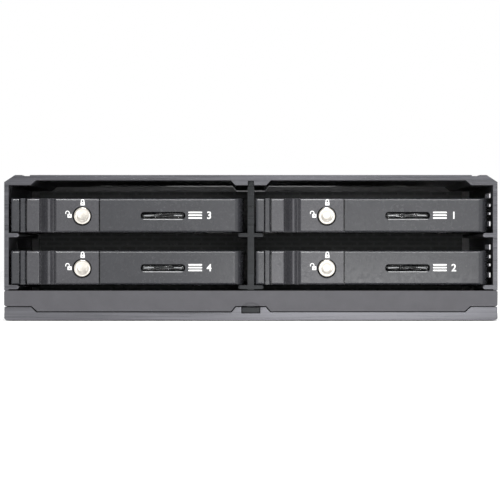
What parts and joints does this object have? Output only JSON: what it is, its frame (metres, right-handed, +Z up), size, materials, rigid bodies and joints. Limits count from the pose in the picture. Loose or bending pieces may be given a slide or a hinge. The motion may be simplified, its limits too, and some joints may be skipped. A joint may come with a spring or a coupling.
{
  "type": "mobile rack",
  "caption": "Bay-mounted backplane enclosure with lockable lever-handled trays for small drives, extruded shell and base, and rear fans.",
  "frame": {"origin": "centre of the underside of the base plate, at mid depth of the whole enclosure", "axes": "+X to the right seen from the front, +Y from the tray fronts to the fans, +Z up"},
  "size_m": [0.146, 0.148, 0.043],
  "materials": {
    "shell": "dark grey anodised, brushed cut ends",
    "divider": "darker grey anodised",
    "fascia": "fine matt moulding",
    "tray": "fine matt moulding",
    "lever": "fine matt moulding",
    "black_plastic": "glass-filled black moulding",
    "nickel": "satin nickel plate",
    "steel": "zinc plated",
    "board": "solder mask over glass laminate",
    "clear": "clear acrylic"
  },
  "bodies": {
    "chassis": {"upper_shell": "shell", "base_plate": "shell", "centre_divider": "divider", "front_fascia": "fascia", "backplane_board": "board", "rear_panel": "steel", "drive_socket_1": "black_plastic", "drive_socket_2": "black_plastic", "drive_socket_3": "black_plastic", "drive_socket_4": "black_plastic", "data_port_1": "black_plastic", "data_port_2": "black_plastic", "data_port_3": "black_plastic", "data_port_4": "black_plastic", "power_port_left": "black_plastic", "power_port_right": "black_plastic", "fan_frame_left": "black_plastic", "fan_frame_right": "black_plastic", "fan_screw_1": "steel", "fan_screw_2": "steel", "fan_screw_3": "steel", "fan_screw_4": "steel", "rear_screw_1": "steel", "rear_screw_2": "steel", "rear_screw_3": "steel", "rear_screw_4": "steel", "base_screw_1": "steel", "base_screw_2": "steel", "base_screw_3": "steel", "base_screw_4": "steel"},
    "tray_1": {"bezel_1": "tray", "caddy_1": "black_plastic", "hinge_pin_1": "steel", "light_pipe_1": "clear"},
    "lever_1": {"lever_1": "lever"},
    "lock_1": {"lock_barrel_1": "nickel", "lock_tongue_1": "steel"},
    "tray_2": {"bezel_2": "tray", "caddy_2": "black_plastic", "hinge_pin_2": "steel", "light_pipe_2": "clear"},
    "lever_2": {"lever_2": "lever"},
    "lock_2": {"lock_barrel_2": "nickel", "lock_tongue_2": "steel"},
    "tray_3": {"bezel_3": "tray", "caddy_3": "black_plastic", "hinge_pin_3": "steel", "light_pipe_3": "clear"},
    "lever_3": {"lever_3": "lever"},
    "lock_3": {"lock_barrel_3": "nickel", "lock_tongue_3": "steel"},
    "tray_4": {"bezel_4": "tray", "caddy_4": "black_plastic", "hinge_pin_4": "steel", "light_pipe_4": "clear"},
    "lever_4": {"lever_4": "lever"},
    "lock_4": {"lock_barrel_4": "nickel", "lock_tongue_4": "steel"},
    "fan_rotor_left": {"fan_rotor_left": "black_plastic"},
    "fan_rotor_right": {"fan_rotor_right": "black_plastic"}
  },
  "joints": [
    {"name": "tray_slide_1", "type": "slide", "parent": "chassis", "child": "tray_1", "axis": [0, -1, 0], "range_m": [0, 0.112]},
    {"name": "lever_hinge_1", "type": "hinge", "parent": "tray_1", "child": "lever_1", "pos_m": [0.0049, -0.0726, 0.03109], "axis": [0, 0, -1], "range_deg": [0, 85]},
    {"name": "lock_turn_1", "type": "hinge", "parent": "lever_1", "child": "lock_1", "pos_m": [0.0225, -0.0736, 0.03089], "axis": [0, 1, 0], "range_deg": [0, 90]},
    {"name": "tray_slide_2", "type": "slide", "parent": "chassis", "child": "tray_2", "axis": [0, -1, 0], "range_m": [0, 0.112]},
    {"name": "lever_hinge_2", "type": "hinge", "parent": "tray_2", "child": "lever_2", "pos_m": [0.0049, -0.0726, 0.01559], "axis": [0, 0, -1], "range_deg": [0, 85]},
    {"name": "lock_turn_2", "type": "hinge", "parent": "lever_2", "child": "lock_2", "pos_m": [0.0225, -0.0736, 0.01539], "axis": [0, 1, 0], "range_deg": [0, 90]},
    {"name": "tray_slide_3", "type": "slide", "parent": "chassis", "child": "tray_3", "axis": [0, -1, 0], "range_m": [0, 0.112]},
    {"name": "lever_hinge_3", "type": "hinge", "parent": "tray_3", "child": "lever_3", "pos_m": [-0.0675, -0.0726, 0.03109], "axis": [0, 0, -1], "range_deg": [0, 85]},
    {"name": "lock_turn_3", "type": "hinge", "parent": "lever_3", "child": "lock_3", "pos_m": [-0.0499, -0.0736, 0.03089], "axis": [0, 1, 0], "range_deg": [0, 90]},
    {"name": "tray_slide_4", "type": "slide", "parent": "chassis", "child": "tray_4", "axis": [0, -1, 0], "range_m": [0, 0.112]},
    {"name": "lever_hinge_4", "type": "hinge", "parent": "tray_4", "child": "lever_4", "pos_m": [-0.0675, -0.0726, 0.01559], "axis": [0, 0, -1], "range_deg": [0, 85]},
    {"name": "lock_turn_4", "type": "hinge", "parent": "lever_4", "child": "lock_4", "pos_m": [-0.0499, -0.0736, 0.01539], "axis": [0, 1, 0], "range_deg": [0, 90]},
    {"name": "fan_spin_left", "type": "hinge", "parent": "chassis", "child": "fan_rotor_left", "pos_m": [-0.048, 0.069, 0.0215], "axis": [0, 1, 0], "continuous": true},
    {"name": "fan_spin_right", "type": "hinge", "parent": "chassis", "child": "fan_rotor_right", "pos_m": [0.048, 0.069, 0.0215], "axis": [0, 1, 0], "continuous": true}
  ]
}
